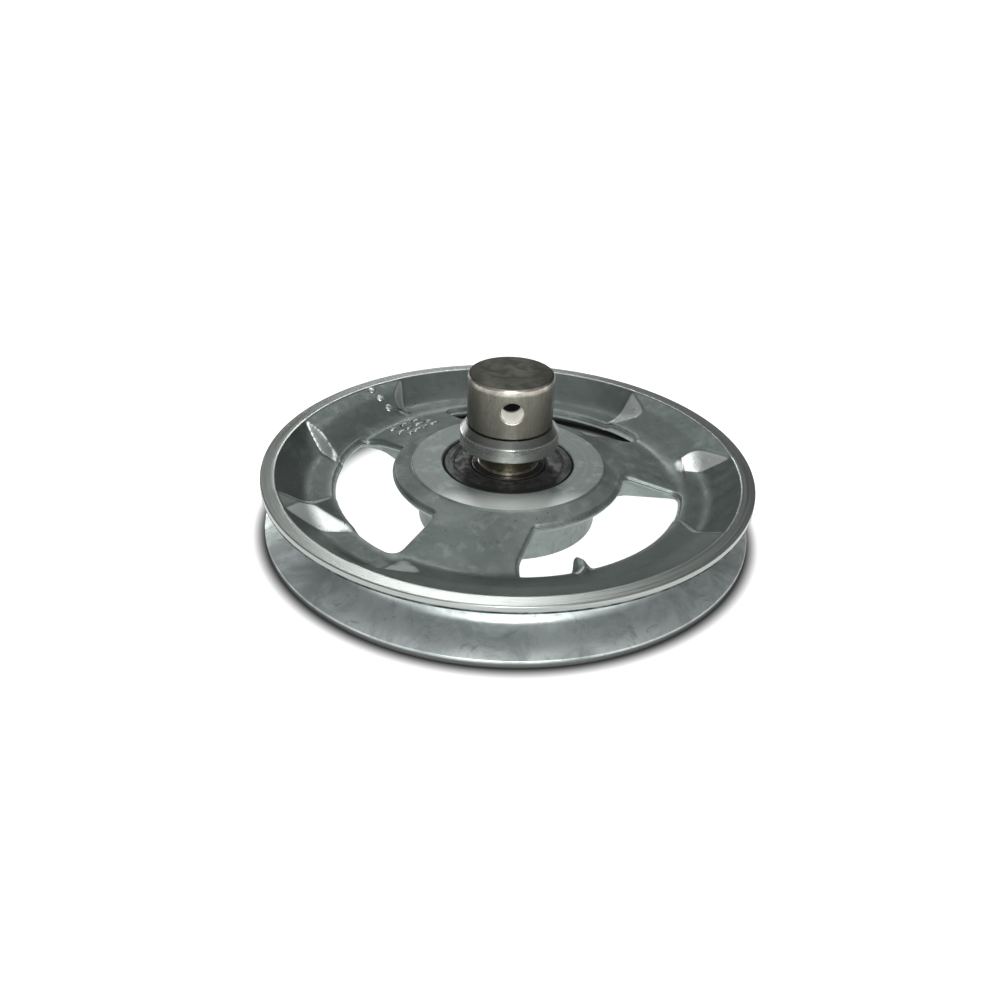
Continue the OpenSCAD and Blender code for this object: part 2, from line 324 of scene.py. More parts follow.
def window_outline():
    """The outline of a window centred on +X. It runs out along the starting side, round the outer arc, in
    along the other side and back along the hub, with as many points in each as a sector's border has.
    Returns (points, normals out of the window into the metal)."""

    def at(radius, angle):
        return radius * math.cos(math.radians(angle)), radius * math.sin(math.radians(angle))

    def arc(radius, a0, a1, count=70):
        return [(*at(radius, a), 0) for a in np.linspace(a0, a1, count)]

    half = WINDOW_HALF
    corners = [
        (*at(WINDOW_IN, -half + FLARE_TURN + 0.1), 0),
        (*at(WINDOW_IN, -half + FLARE_TURN), 1.2),
        (*at(FLARE_R, -half), 9),
        (*at(WINDOW_OUT, -half), 4.6),
    ]
    corners += arc(WINDOW_OUT, -half + 7.5, half - 7.5)
    corners += [(*at(WINDOW_OUT, half), 4.6), (*at(WINDOW_IN, half), 3.0)]
    corners += arc(WINDOW_IN, half - 6.5, -half + FLARE_TURN + 0.1)
    line = np.array(rounded(corners, 6))
    keys = [(WINDOW_IN, -half + FLARE_TURN), (WINDOW_OUT, -half), (WINDOW_OUT, half), (WINDOW_IN, half)]
    marks = [int(np.argmin(np.hypot(*(line - at(*key)).T))) for key in keys] + [len(line) - 1]
    marks[0] = 0
    points = []
    for first, last, cells in zip(marks, marks[1:], (SIDE_CELLS, ARC_CELLS, SIDE_CELLS, ARC_CELLS)):
        side = line[first:last + 1]
        length = np.concatenate([[0], np.cumsum(np.linalg.norm(np.diff(side, axis=0), axis=1))])
        spots = np.linspace(0, length[-1], cells + 1)[:-1]
        points.append(np.stack([np.interp(spots, length, side[:, k]) for k in (0, 1)], -1))
    points = np.vstack(points)
    tangent = np.roll(points, -1, 0) - np.roll(points, 1, 0)
    tangent /= np.linalg.norm(tangent, axis=1, keepdims=True)
    return points, np.stack([tangent[:, 1], -tangent[:, 0]], -1)


def sector_border():
    """The border of a window's sector, point for point with window_outline, as (radius, angle)."""
    out = np.linspace(SECTOR_IN, SECTOR_OUT, SIDE_CELLS + 1)[:-1]
    turn = np.linspace(-60, 60, ARC_CELLS + 1)[:-1]
    r = np.concatenate([
        out, np.full(ARC_CELLS, SECTOR_OUT), SECTOR_IN + SECTOR_OUT - out, np.full(ARC_CELLS, SECTOR_IN)
    ])
    a = np.concatenate([np.full(SIDE_CELLS, -60.0), turn, np.full(SIDE_CELLS, 60.0), -turn])
    return r, a


EDGE_STEP = 0.8  # the parting ledge stands this far out from the plate's edge
EDGE_ROUND = 1.0
NUB_TURN = 290.0  # the broken-off gate stub
NUB_WIDTH = 2.5


def with_nub(xyz, offset):
    """Pulls the metal near the gate stub in over the window and up."""
    r = np.hypot(xyz[..., 0], xyz[..., 1])
    a = np.degrees(np.arctan2(xyz[..., 1], xyz[..., 0]))
    across = np.radians((a - NUB_TURN + 180) % 360 - 180) * r
    near = np.exp(-((np.abs(across) / NUB_WIDTH) ** 2.6)) * (r > WINDOW_OUT - 4)
    pull = near * (1 - step(0.0, 3.5, offset))
    lift = near * (1 - step(0.5, 5.5, offset))
    scale = (r - 4.6 * pull) / r
    wobble = 0.25 * np.sin(across * 2.3 + offset * 3.1)
    return np.stack([xyz[..., 0] * scale, xyz[..., 1] * scale, xyz[..., 2] + lift * (3.4 + wobble)], -1)


def window_grid(builder, index):
    """The metal round one window: upper surface, edge with its parting ledge, lower surface."""
    middle = WINDOW_TURN + 120 * index
    outline, normal = window_outline()
    border_r, border_a = sector_border()
    n = len(outline)

    def ring(offset):
        p = outline + normal * offset
        return np.hypot(p[:, 0], p[:, 1]), np.degrees(np.arctan2(p[:, 1], p[:, 0])) + middle

    def between(offset, share):
        r, a = ring(offset)
        return r + (border_r - r) * share, a + (border_a + middle - a) * share

    edge_r, edge_a = ring(EDGE_STEP + EDGE_ROUND)
    edge_top = top_height(edge_r, edge_a)
    rows = []

    def add(r, a, z, offset):
        rows.append(with_nub(polar(r, a, z), np.full(n, float(offset)) if np.ndim(offset) == 0 else offset))

    # upper surface, from the sector's border in to the edge
    for share in (1.0, 0.86, 0.72, 0.58, 0.44, 0.3, 0.18, 0.08):
        r, a = between(3.0, share)
        add(r, a, top_height(r, a), 3.0 + share * 6)
    for offset in (3.0, 2.4):
        r, a = ring(offset)
        add(r, a, top_height(r, a), offset)
    for turn in (0, 18, 36, 54, 72, 90):
        offset = EDGE_STEP + EDGE_ROUND * (1 - math.sin(math.radians(turn)))
        r, a = ring(offset)
        add(r, a, edge_top - EDGE_ROUND * (1 - math.cos(math.radians(turn))), offset)
    # the wall under it, the parting ledge and the underside of the ledge
    for offset, drop in (
        (EDGE_STEP, 1.35), (EDGE_STEP - 0.1, 1.5), (0.25, 1.55), (0.06, 1.65),
        (0.0, 1.85), (0.0, 2.3), (0.1, 2.65), (0.4, 2.9),
    ):
        r, a = ring(offset)
        add(r, a, edge_top - drop, offset)
    # lower surface, out to the border again
    on_spoke = step(-1.5, 0.8, spoke_edge(edge_r, edge_a))
    on_spoke *= 1 - step(WINDOW_OUT - 1, WINDOW_OUT + 2, edge_r)
    plate = edge_top - 3.0
    for offset in (1.2, 2.0, 2.25, 2.5, 3.0):
        r, a = ring(offset)
        low = np.minimum(along(BELOW, r), plate)
        rib = np.minimum(along(RIB, r), low)
        into = on_spoke * step(2.1, 2.45, offset)
        add(r, a, low * (1 - into) + rib * into, offset)
    for share in (0.1, 0.25, 0.5, 0.75, 1.0):
        r, a = between(3.0, share)
        low = np.minimum(along(BELOW, r), plate + (along(BELOW, r) - plate) * step(0, 0.3, share))
        into = step(0.2, 0.9, spoke_edge(r, a) - 2.0) * (r < WINDOW_OUT + 4)
        into = np.maximum(into, on_spoke * (1 - step(0.1, 0.5, share)))
        low = low * (1 - into) + np.minimum(along(RIB, r), low) * into
        if share == 1.0:
            low = bottom_height(r, a, spoke_edge(r, a))
        add(r, a, low, 3.0 + share * 6)
    builder.grid(np.array(rows))


def casting():
    """The whole die casting as one closed mesh."""
    b = Builder()
    angles = WINDOW_TURN + 60 + np.arange(COLUMNS) * 360.0 / COLUMNS
    grid_a = angles[None, :]

    def band(radii, height):
        radii = np.array(radii, float)[:, None]
        return polar(radii, grid_a, height(radii + 0 * grid_a, grid_a + 0 * radii))

    # hub: bearing seat's mouth out to the windows' sectors
    face = [SEAT_R + 0.5, 28, 31, 34, HUB_FACE_R - 0.6, HUB_FACE_R - 0.1]
    face += [HUB_FACE_R + 0.15, HUB_FACE_R + 0.4, HUB_FACE_R + 0.8, 39.2, SECTOR_IN]
    b.grid(band(face, top_height))
    # rim: the windows' sectors out to the land
    count = 26
    wall = [SECTOR_OUT + (LAND_R - 1.2 - SECTOR_OUT) * i / count for i in range(count + 1)]
    land = [LAND_R - 0.8, LAND_R - 0.5, LAND_R - 0.25, LAND_R, LAND_R + 0.5, LAND_R + 1.6]
    land += [RIM_R - 2.4, RIM_R - 0.9]
    b.grid(band(wall + land, top_height))
    # round the upper flange, down the groove and round the lower flange
    flank = MID_Z - 3.5
    section = rounded([
        (RIM_R - 0.9, RIM_W, 0), (RIM_R, RIM_W, 0.8), (RIM_R, RIM_W - FLANGE_TIP, 0.45),
        (GROOVE_R, RIM_W - flank, 1.8), (GROOVE_R, flank, 3.2),
        (RIM_R, FLANGE_TIP, 0.45), (RIM_R, 0, 0.8), (RIM_R - 0.9, 0, 0)
    ])
    b.grid(turned(section, start=angles[0]))
    under = rounded([
        (RIM_R - 0.9, 0, 0), (LAND_R, 0, 0.5), (79.7, MID_Z - 4.8, 2), (77, WEB_BOT, 3),
        (SECTOR_OUT, WEB_BOT, 0)
    ])
    b.grid(turned(under, start=angles[0]))
    for index in range(3):
        window_grid(b, index)
    # under the hub disc to the barrel
    radii = np.array([SECTOR_IN, 38.5, 37.2, BARREL_R + 0.6, BARREL_R])[:, None]
    r, a = radii + 0 * grid_a, grid_a + 0 * radii
    low = bottom_height(r, a, spoke_edge(r, a))
    low[-1] -= 0.5
    b.grid(polar(r, a, low))
    foot = 1.8
    drop = np.linspace(0, 1, 6)[:, None]
    b.grid(polar(BARREL_R + 0 * drop, grid_a, low[-1:] + (foot - low[-1:]) * drop))
    seat_r, seat_z = SEAT_R + FIT, BEARING_LOW - FIT
    hub = rounded([
        (BARREL_R, foot, 0), (BARREL_R, 1, 0.7), (SHOULDER_R, 1, 0.7), (SHOULDER_R, seat_z, 0.1),
        (seat_r, seat_z, 0.1), (seat_r, HUB_FACE_Z - 0.5, 0), (SEAT_R + 0.5, HUB_FACE_Z, 0)
    ])
    b.grid(turned(hub, start=angles[0]))
    return b


# ---- turned parts ----


def lathe(name, corners, material, body, columns=180, sharp=38):
    """A closed turned piece from its rounded section."""
    section = rounded(corners + corners[:1])
    b = Builder()
    b.grid(turned(section, columns))
    return b.finish(name, material, body, sharp)


HOLE_R = CROSS["dims"]["r_mm"]
HOLE_Z = CROSS["pos_m"][2] / MM
HOLE_ROUND = 0.7
HEAD_COLUMNS = 144
PATCH_COLUMNS = 24  # half of these lie on each side of the hole
PATCH_ROWS = 14
PATCH_HALF = 6.6


def on_head(x, z, side, sink=0.0):
    """A point of the head's surface over (x, z), sunk inwards. side is -1 at the front, 1 at the back."""
    return np.stack([x, side * (np.sqrt(HEAD_R**2 - x**2) - sink), z], -1)


def hole_patch(builder, side):
    """The head's surface round one mouth of the cross hole. Returns the ring where the hole's wall
    begins."""
    turn = 360 / HEAD_COLUMNS
    spread = np.radians((np.arange(PATCH_COLUMNS + 1) - PATCH_COLUMNS / 2) * turn)
    x = HEAD_R * np.sin(spread)
    z = HOLE_Z + np.linspace(-PATCH_HALF, PATCH_HALF, PATCH_ROWS + 1)
    border = np.vstack([
        np.stack([x[:-1], np.full(PATCH_COLUMNS, z[0])], -1),
        np.stack([np.full(PATCH_ROWS, x[-1]), z[:-1]], -1),
        np.stack([x[:0:-1], np.full(PATCH_COLUMNS, z[-1])], -1),
        np.stack([np.full(PATCH_ROWS, x[0]), z[:0:-1]], -1),
    ])
    way = np.arctan2(border[:, 1] - HOLE_Z, border[:, 0])
    circle = np.stack([np.cos(way), np.sin(way)], -1)
    rows = []
    start = HOLE_R + HOLE_ROUND
    for share in (1.0, 0.7, 0.45, 0.22, 0.08, 0.0):
        ring = circle * start + [0, HOLE_Z]
        ring = ring + (border - ring) * share
        rows.append(on_head(ring[:, 0], ring[:, 1], side))
    for bend in (22, 45, 68, 90):
        q = HOLE_R + HOLE_ROUND * (1 - math.sin(math.radians(bend)))
        sink = HOLE_ROUND * (1 - math.cos(math.radians(bend)))
        rows.append(on_head(circle[:, 0] * q, circle[:, 1] * q + HOLE_Z, side, sink))
    builder.grid(np.array(rows))
    return rows[-1]


def stub_shaft(material):
    """Neck, spigot and cross-drilled head."""
    b = Builder()
    low, high = HOLE_Z - PATCH_HALF, HOLE_Z + PATCH_HALF
    clip_r = NECK_R - 0.5
    grooves = []
    for low_z in (CLIP_LOW - 0.05, CLIP_HIGH - CLIP_T - 0.05):
        high_z = low_z + CLIP_T + 0.1
        grooves += [(NECK_R, low_z, 0), (clip_r, low_z, 0), (clip_r, high_z, 0), (NECK_R, high_z, 0)]
    lower = rounded(
        [(2.0, SHAFT_LOW, 0), (NECK_R, SHAFT_LOW, 1.2)] + grooves
        + [(NECK_R, COLLAR_LOW, 0.3), (SPIGOT_R, COLLAR_LOW, 0.1), (SPIGOT_R, COLLAR_TOP + 0.5, 0.2),
           (HEAD_R, COLLAR_TOP + 0.5, 0.5), (HEAD_R, low, 0)]
    )
    upper = rounded([(HEAD_R, high, 0), (HEAD_R, HEAD_TOP, 2.5), (2.0, HEAD_TOP, 0)], 9)
    for section in (lower, upper):
        rows = turned(section, HEAD_COLUMNS)
        b.grid(rows)
        end = 0 if section is lower else -1
        b.fan(rows[end], (0, 0, section[end][1]))
    half = PATCH_COLUMNS // 2
    quarter = HEAD_COLUMNS // 4
    z = np.linspace(low, high, PATCH_ROWS + 1)[:, None]
    for first in (quarter + half, 3 * quarter + half):
        columns = np.arange(first, first + 2 * quarter - PATCH_COLUMNS + 1)
        b.grid(polar(HEAD_R, (columns * 360 / HEAD_COLUMNS)[None, :], z), wrap=False)
    front, back = (hole_patch(b, side) for side in (-1, 1))
    b.grid(np.array([front + (back - front) * t for t in np.linspace(0, 1, 9)]))
    return b.finish("stub_shaft_turned", material, "shaft_assembly", 50)


def circlip(name, z, turn, material):
    """An external circlip with two ears, its edges bevelled, a little uneven."""
    outer = []
    inner = []
    gap = 9
    for i in range(121):
        a = gap + (360 - 2 * gap) * i / 120
        ear = math.exp(-(((min(a, 360 - a) - 18) / 9) ** 2))
        inner.append((NECK_R - 0.45, a))
        outer.append((NECK_R + 1.9 + 1.3 * ear + 0.12 * math.sin(math.radians(5 * a)), a))
    b = Builder()
    inner, outer = np.array(inner), np.array(outer)
    edge = 0.22
    rows = []
    top, bottom = z + CLIP_T, z
    for r, h in (
        (inner[:, 0], bottom + edge), (inner[:, 0], top - edge), (inner[:, 0] + edge, top),
        (outer[:, 0] - edge, top), (outer[:, 0], top - edge), (outer[:, 0], bottom + edge),
        (outer[:, 0] - edge, bottom), (inner[:, 0] + edge, bottom), (inner[:, 0], bottom + edge),
    ):
        rows.append(polar(r, inner[:, 1] + turn, np.full(len(r), h)))
    rows = np.array(rows)
    b.grid(rows, wrap=False)
    for end in (0, -1):
        ring = rows[:-1, end]
        b.fan(ring, ring.mean(0))
    return b.finish(name, material, "shaft_assembly", 40)


# ---- materials ----


class Paint:
    """One procedural material. Its coordinates are the frame's, in millimetres: x, y, z and the radius r."""

    def __init__(self, name, **sockets):
        self.material = bpy.data.materials.new(name)
        self.material.use_nodes = True
        self.nodes = self.material.node_tree.nodes
        self.links = self.material.node_tree.links
        self.shader = self.nodes["Principled BSDF"]
        for key, value in sockets.items():
            self.shader.inputs[key.replace("_", " ")].default_value = value
        place = self.nodes.new("ShaderNodeTexCoord").outputs["Object"]
        self.place = self.vector("MULTIPLY", place, (1 / MM,) * 3)
        split = self.nodes.new("ShaderNodeSeparateXYZ")
        self.links.new(self.place, split.inputs[0])
        self.x, self.y, self.z = split.outputs
        self.r = self.vector("LENGTH", self.vector("MULTIPLY", self.place, (1, 1, 0)))

    def feed(self, socket, value):
        """Links an output or sets a constant."""
        if isinstance(value, bpy.types.NodeSocket):
            self.links.new(value, socket)
        else:
            socket.default_value = value

    def vector(self, operation, a, b=None):
        node = self.nodes.new("ShaderNodeVectorMath")
        node.operation = operation
        self.feed(node.inputs[0], a)
        if b is not None:
            self.feed(node.inputs[1], b)
        return node.outputs["Value" if operation in ("LENGTH", "DOT_PRODUCT") else "Vector"]

    def math(self, operation, a, b=0.0, clamp=False):
        node = self.nodes.new("ShaderNodeMath")
        node.operation = operation
        node.use_clamp = clamp
        self.feed(node.inputs[0], a)
        self.feed(node.inputs[1], b)
        return node.outputs[0]

    def times(self, a, b):
        return self.math("MULTIPLY", a, b)

    def combine(self, x, y, z):
        node = self.nodes.new("ShaderNodeCombineXYZ")
        for socket, value in zip(node.inputs, (x, y, z)):
            self.feed(socket, value)
        return node.outputs[0]

    def smooth(self, value, a, b, low=0.0, high=1.0):
        """low before a, high past b, smooth between."""
        node = self.nodes.new("ShaderNodeMapRange")
        node.interpolation_type = "SMOOTHSTEP"
        self.feed(node.inputs["Value"], value)
        rising = a < b
        ends = (a, b, low, high) if rising else (b, a, high, low)
        for socket, number in zip(("From Min", "From Max", "To Min", "To Max"), ends):
            node.inputs[socket].default_value = number
        return node.outputs["Result"]

    def noise(self, scale, stretch=(1, 1, 1), detail=4.0, rough=0.55, bend=0.0, shift=(0, 0, 0)):
        """Noise with features about 1 / scale millimetres across."""
        at = self.vector("ADD", self.vector("MULTIPLY", self.place, stretch), shift)
        return self.noise_at(at, scale, detail, rough, bend)

    def noise_at(self, vector, scale, detail=4.0, rough=0.55, bend=0.0):
        node = self.nodes.new("ShaderNodeTexNoise")
        node.inputs["Scale"].default_value = scale
        node.inputs["Detail"].default_value = detail
        node.inputs["Roughness"].default_value = rough
        node.inputs["Distortion"].default_value = bend
        self.feed(node.inputs["Vector"], vector)
        return node.outputs["Fac"]

    def lathe_lines(self, fine, length=0.02):
        """Fine lines round the axis: noise of radius and height that hardly changes along the turn."""
        r = self.times(self.r, fine)
        z = self.times(self.z, fine)
        along_x = self.times(self.x, length)
        along_y = self.times(self.y, length)
        at = self.combine(self.math("ADD", r, along_x), self.math("ADD", z, along_y), along_x)
        return self.noise_at(at, 1.0, 3.0, 0.6)

    def colour(self, share, a, b):
        node = self.nodes.new("ShaderNodeMix")
        node.data_type = "RGBA"
        self.feed(node.inputs["Factor"], share)
        for name, value in (("A", a), ("B", b)):
            socket = next(i for i in node.inputs if i.name == name and i.type == "RGBA")
            self.feed(socket, value if isinstance(value, bpy.types.NodeSocket) else (*value, 1.0))
        return next(o for o in node.outputs if o.type == "RGBA")

    def blend(self, share, a, b):
        node = self.nodes.new("ShaderNodeMix")
        self.feed(node.inputs["Factor"], share)
        self.feed(node.inputs[2], a)
        self.feed(node.inputs[3], b)
        return node.outputs[0]

    def bump(self, height, distance, strength=1.0, before=None):
        """Bump with height in 0..1 standing distance millimetres tall."""
        node = self.nodes.new("ShaderNodeBump")
        node.inputs["Strength"].default_value = strength
        node.inputs["Distance"].default_value = distance * MM
        self.feed(node.inputs["Height"], height)
        if before is not None:
            self.links.new(before, node.inputs["Normal"])
        return node.outputs["Normal"]

    def facets(self):
        """1 on the slanting end faces of the raised stretches: where the surface leans along the turn."""
        normal = self.nodes.new("ShaderNodeTexCoord").outputs["Normal"]
        outward = self.vector("NORMALIZE", self.vector("MULTIPLY", self.place, (1, 1, 0)))
        along_turn = self.vector("CROSS_PRODUCT", outward, (0, 0, 1))
        lean = self.math("ABSOLUTE", self.vector("DOT_PRODUCT", normal, along_turn))
        share = self.smooth(lean, 0.16, 0.34)
        share = self.times(share, self.smooth(self.r, WINDOW_OUT + 1.5, WINDOW_OUT + 3.5))
        return self.times(share, self.smooth(self.z, WEB_TOP - 0.2, WEB_TOP + 0.4))

    def done(self, colour, rough, normal=None):
        self.feed(self.shader.inputs["Base Color"], colour)
        self.feed(self.shader.inputs["Roughness"], rough)
        if normal is not None:
            self.links.new(normal, self.shader.inputs["Normal"])
        return self.material


class CastPaint(Paint):
    """The die casting's material: its textures, and where its faces are machined."""

    def __init__(self):
        super().__init__("cast_aluminium", Metallic=0.9, IOR=1.6)
        self.cloud = self.noise(0.035, detail=5, rough=0.6, bend=0.6)
        self.mottle = self.noise(0.16, detail=6, rough=0.65, bend=0.4)
        self.grain = self.noise(1.6, detail=3, rough=0.7)
        self.pits = self.smooth(self.noise(0.75, detail=2, rough=0.5, shift=(17, 5, 3)), 0.68, 0.74)
        self.flow = self.noise(0.09, stretch=(1, 1, 0.4), detail=7, rough=0.7, bend=2.2, shift=(9, 2, 40))
        smear = self.noise(0.055, stretch=(1, 1, 1.5), detail=8, rough=0.66, bend=0.5, shift=(60, 20, 0))
        self.smear = self.smooth(smear, 0.35, 0.65)
        self.lines = self.lathe_lines(3.2)
        self.line_share = self.smooth(self.lines, 0.3, 0.7)
        self.facet_highlight = self.facets()
        # painted shade: the groove wall darkens just below the upper flange, patchy with the mottle
        below_flange = self.smooth(self.z, MID_Z + 2.0, MID_Z + 3.6)
        self.flange_shade = self.times(below_flange, self.smooth(self.mottle, 0.3, 0.6, 0.75, 1.0))
        self.find_machined()

    def find_machined(self):
        """Shares of the hub's face, of the belt groove, and of every turned face but the groove."""
        half = self.math("ABSOLUTE", self.math("SUBTRACT", self.z, MID_Z))
        land = self.smooth(self.r, LAND_R - 0.4, LAND_R + 0.1)
        land = self.times(land, self.smooth(half, MID_Z - 0.7, MID_Z - 0.3))
        face = self.smooth(self.r, HUB_FACE_R + 0.2, HUB_FACE_R - 0.2)
        self.face = self.times(face, self.smooth(self.z, HUB_FACE_Z - 0.5, HUB_FACE_Z - 0.2))
        flank = self.math("ADD", self.times(self.math("SUBTRACT", self.r, GROOVE_R), FLANK_SLOPE), 4.4)
        groove = self.smooth(self.math("SUBTRACT", flank, half), -0.2, 0.2)
        self.groove = self.times(groove, self.smooth(self.r, GROOVE_R - 1, GROOVE_R - 0.4))
        tips = self.smooth(self.r, RIM_R - 1.2, RIM_R - 0.4)
        tips = self.times(tips, self.smooth(half, MID_Z - FLANGE_TIP - 0.3, MID_Z - FLANGE_TIP))
        self.turned = self.math("MAXIMUM", self.math("MAXIMUM", land, self.face), tips)

    def skin(self):
        """Cast skin: clouded, with painted shade on the rim's inner wall and a painted highlight on the
        facets, stained and pitted.
        """
        wall = self.smooth(self.r, WINDOW_OUT + 0.5, WINDOW_OUT + 4.5)
        wall = self.times(wall, self.smooth(self.z, WEB_BOT + 1, WEB_BOT + 2))
        stains = self.smooth(self.flow, 0.56, 0.66)
        colour = self.colour(self.smooth(self.cloud, 0.3, 0.7), (0.19, 0.225, 0.215), (0.29, 0.33, 0.318))
        colour = self.colour(self.times(self.smooth(self.mottle, 0.5, 0.66), 0.5), colour, (0.38, 0.43, 0.41))
        # painted shade: the rim's inner wall is darkened
        colour = self.colour(self.times(wall, 0.62), colour, (0.05, 0.066, 0.062))
        # painted highlight: the facets are painted near white
        colour = self.colour(self.facet_highlight, colour, (0.92, 0.98, 0.96))
        colour = self.colour(self.times(stains, 0.3), colour, (0.14, 0.155, 0.15))
        return self.colour(self.times(self.pits, 0.6), colour, (0.07, 0.075, 0.07))

    def lathed(self):
        """Turned aluminium with fine lines and stains. The hub's face has a painted highlight on its -Y side.
        """
        colour = self.colour(self.line_share, (0.28, 0.305, 0.288), (0.38, 0.405, 0.388))
        colour = self.colour(self.times(self.smooth(self.mottle, 0.5, 0.7), 0.45), colour, (0.30, 0.31, 0.29))
        face = self.colour(self.line_share, (0.21, 0.245, 0.232), (0.30, 0.335, 0.32))
        face = self.colour(self.times(self.smooth(self.mottle, 0.5, 0.66), 0.5), face, (0.42, 0.46, 0.44))
        # painted highlight: the hub's face brightens towards -Y
        face = self.colour(self.smooth(self.y, -22.0, -36.0), face, (0.85, 0.9, 0.88))
        return self.colour(self.face, colour, face)

    def belt(self):
        """The groove's wall: smeared bright, scratched along the belt, with a patchy painted shade below the
        upper flange.
        """
        way = self.combine(self.times(self.z, 1.9), self.times(self.x, 0.16), self.times(self.y, 0.16))
        scratches = self.smooth(self.noise_at(way, 1.0, 3, 0.7, 1.2), 0.63, 0.72)
        stains = self.smooth(self.flow, 0.58, 0.66)
        colour = self.colour(self.smear, (0.42, 0.475, 0.47), (0.78, 0.85, 0.84))
        colour = self.colour(self.times(scratches, 0.3), colour, (0.7, 0.75, 0.73))
        colour = self.colour(self.times(stains, 0.4), colour, (0.2, 0.23, 0.22))
        # painted shade below the upper flange
        return self.colour(self.flange_shade, colour, (0.03, 0.034, 0.032))

    def roughness(self):
        rough = self.blend(self.smooth(self.mottle, 0.35, 0.7), 0.44, 0.58)
        rough = self.blend(self.turned, rough, self.blend(self.line_share, 0.27, 0.36))
        rough = self.blend(self.face, rough, self.blend(self.line_share, 0.52, 0.64))
        rough = self.blend(self.facet_highlight, rough, 0.35)
        belt = self.blend(self.flange_shade, self.blend(self.smear, 0.5, 0.4), 0.85)
        return self.blend(self.groove, rough, belt)

    def relief(self):
        """Grain and pits, weaker where the metal is machined, and the turned lines."""
        skin_share = self.math("SUBTRACT", 1.0, self.math("MAXIMUM", self.turned, self.groove))
        height = self.math("ADD", self.times(self.grain, 0.35), self.mottle)
        height = self.math("SUBTRACT", height, self.times(self.pits, 0.7))
        height = self.times(height, self.math("ADD", self.times(skin_share, 0.75), 0.25))
        ridges = self.times(self.lines, self.math("ADD", self.turned, self.times(self.groove, 0.3)))
        return self.bump(ridges, 0.02, 0.5, self.bump(height, 0.22, 0.7))


def cast_aluminium():
    """Die-cast skin, with turned lands and hub face and a belt groove."""
    p = CastPaint()
    colour = p.colour(p.turned, p.skin(), p.lathed())
    colour = p.colour(p.groove, colour, p.belt())
    return p.done(colour, p.roughness(), p.relief())


def rubbed_aluminium():
    """Cast metal rubbed bright on raised marks, dirtier where the noise says so."""
    p = Paint("rubbed_aluminium", Metallic=0.9, IOR=1.6)
    rub = p.noise(0.5, detail=5, rough=0.65)
    grain = p.noise(2.0, detail=3)
    colour = p.colour(p.smooth(rub, 0.38, 0.62), (0.2, 0.23, 0.22), (0.72, 0.77, 0.75))
    return p.done(colour, p.blend(rub, 0.5, 0.36), p.bump(grain, 0.06, 0.6))


def head_edge_highlight(p, stain):
    """Share of the painted highlight on the edge round the head's top, on its -Y side, patchy with the stain.
    """
    worn = p.smooth(p.z, HEAD_TOP - 3.4, HEAD_TOP - 1.8)
    worn = p.times(worn, p.smooth(p.z, HEAD_TOP - 0.1, HEAD_TOP - 0.5))
    worn = p.times(worn, p.smooth(p.y, -6.0, -12.0))
    return p.times(worn, p.smooth(stain, 0.35, 0.6, 0.75, 0.3))


def drilled_hole(p):
    """(share inside the cross hole, its colour: a painted highlight near the mouths and painted shade in the
    middle).
    """
    off_axis = p.vector("LENGTH", p.combine(p.x, p.math("SUBTRACT", p.z, HOLE_Z), 0.0))
    depth = p.math("SUBTRACT", HEAD_R, p.math("ABSOLUTE", p.y))
    # painted highlight near the hole's mouths, painted shade deep inside
    colour = p.colour(p.smooth(depth, 8.6, 11.0), (0.95, 0.94, 0.9), (0.02, 0.02, 0.018))
    return p.smooth(off_axis, HOLE_R + 0.25, HOLE_R + 0.05), colour


def oiled_steel():
    """Turned steel gone grey-brown with oil: streaks along the axis, dark specks, painted shade on the head's
    flanks and top, oil and painted shade on the neck below the collar, and a painted highlight on the head's
    top edge."""
    p = Paint("oiled_steel", Metallic=0.9, IOR=1.6)
    streak = p.noise(0.8, stretch=(1, 1, 0.22), detail=6, rough=0.7)
    stain = p.noise(0.14, detail=5, rough=0.6, bend=0.8)
    specks = p.smooth(p.noise(0.9, detail=2, shift=(3, 8, 1)), 0.69, 0.74)
    # painted shade under the collar, with oil: the neck darkens below the collar
    neck_oil_and_shade = p.smooth(p.z, COLLAR_LOW + 0.5, COLLAR_LOW - 0.5)
    top = p.smooth(p.z, HEAD_TOP - 0.3, HEAD_TOP - 0.05)
    # painted shade: the head's top face is painted dark, patchy with the stain
    top_shade_colour = p.colour(p.smooth(stain, 0.35, 0.65), (0.03, 0.034, 0.027), (0.11, 0.117, 0.095))
    # painted shade: the head darkens towards its sides in x
    flank_shade = p.smooth(p.math("ABSOLUTE", p.math("ADD", p.x, -0.5)), 7.5, HEAD_R)
    flank_shade = p.times(flank_shade, p.smooth(p.z, COLLAR_TOP, COLLAR_TOP + 1))
    in_hole, hole_shading = drilled_hole(p)

    colour = p.colour(p.smooth(streak, 0.3, 0.72), (0.19, 0.183, 0.15), (0.29, 0.283, 0.24))
    colour = p.colour(p.times(p.smooth(stain, 0.48, 0.68), 0.5), colour, (0.13, 0.115, 0.085))
    colour = p.colour(p.times(neck_oil_and_shade, 0.75), colour, (0.075, 0.066, 0.038))
    colour = p.colour(p.times(top, 0.9), colour, top_shade_colour)
    colour = p.colour(p.times(flank_shade, 0.72), colour, (0.035, 0.037, 0.03))
    # painted highlight on the head's top edge at its -Y side
    colour = p.colour(head_edge_highlight(p, stain), colour, (0.85, 0.8, 0.7))
    colour = p.colour(p.times(specks, 0.8), colour, (0.03, 0.028, 0.02))
    colour = p.colour(in_hole, colour, hole_shading)

    rough = p.blend(p.smooth(streak, 0.3, 0.7), 0.4, 0.28)
    rough = p.blend(p.smooth(stain, 0.45, 0.7), rough, 0.46)
    rough = p.blend(top, rough, 0.6)
    rough = p.blend(in_hole, rough, 0.95)
    relief = p.math("ADD", streak, p.times(p.lathe_lines(5.0), 0.5))
    relief = p.math("SUBTRACT", relief, p.times(specks, 1.2))
    return p.done(colour, rough, p.bump(relief, 0.05, 0.5))


